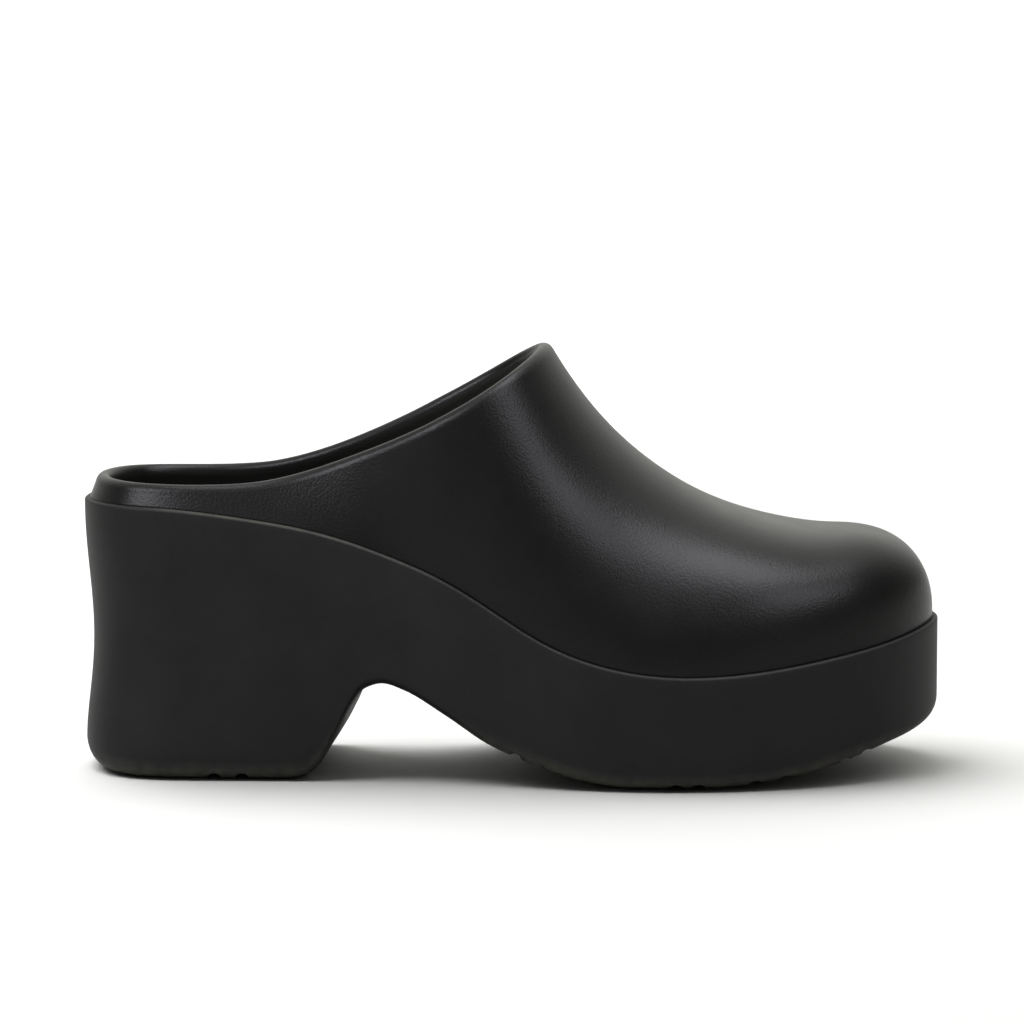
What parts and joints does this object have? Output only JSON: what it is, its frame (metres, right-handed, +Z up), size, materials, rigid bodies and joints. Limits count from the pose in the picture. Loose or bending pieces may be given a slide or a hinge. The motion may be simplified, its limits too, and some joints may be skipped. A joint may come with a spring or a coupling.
{
  "type": "platform clog",
  "caption": "Backless platform clog for the right foot: hollow moulded upper with a sloping round-rimmed collar, on a thick sole with block heel, arch and toe spring.",
  "frame": {"origin": "on the floor under the middle of the shoe's box", "axes": "+X to the toe, +Z up, -Y to the outer side of the foot"},
  "size_m": [0.2563, 0.1026, 0.1268],
  "materials": {
    "upper_foam": "black moulded foam, satin, with a fine grain",
    "sole_foam": "black moulded foam, matte",
    "insole_foam": "black soft foam, matte"
  },
  "bodies": {
    "root": {"upper": "upper_foam", "platform_sole": "sole_foam", "insole": "insole_foam"}
  },
  "joints": []
}
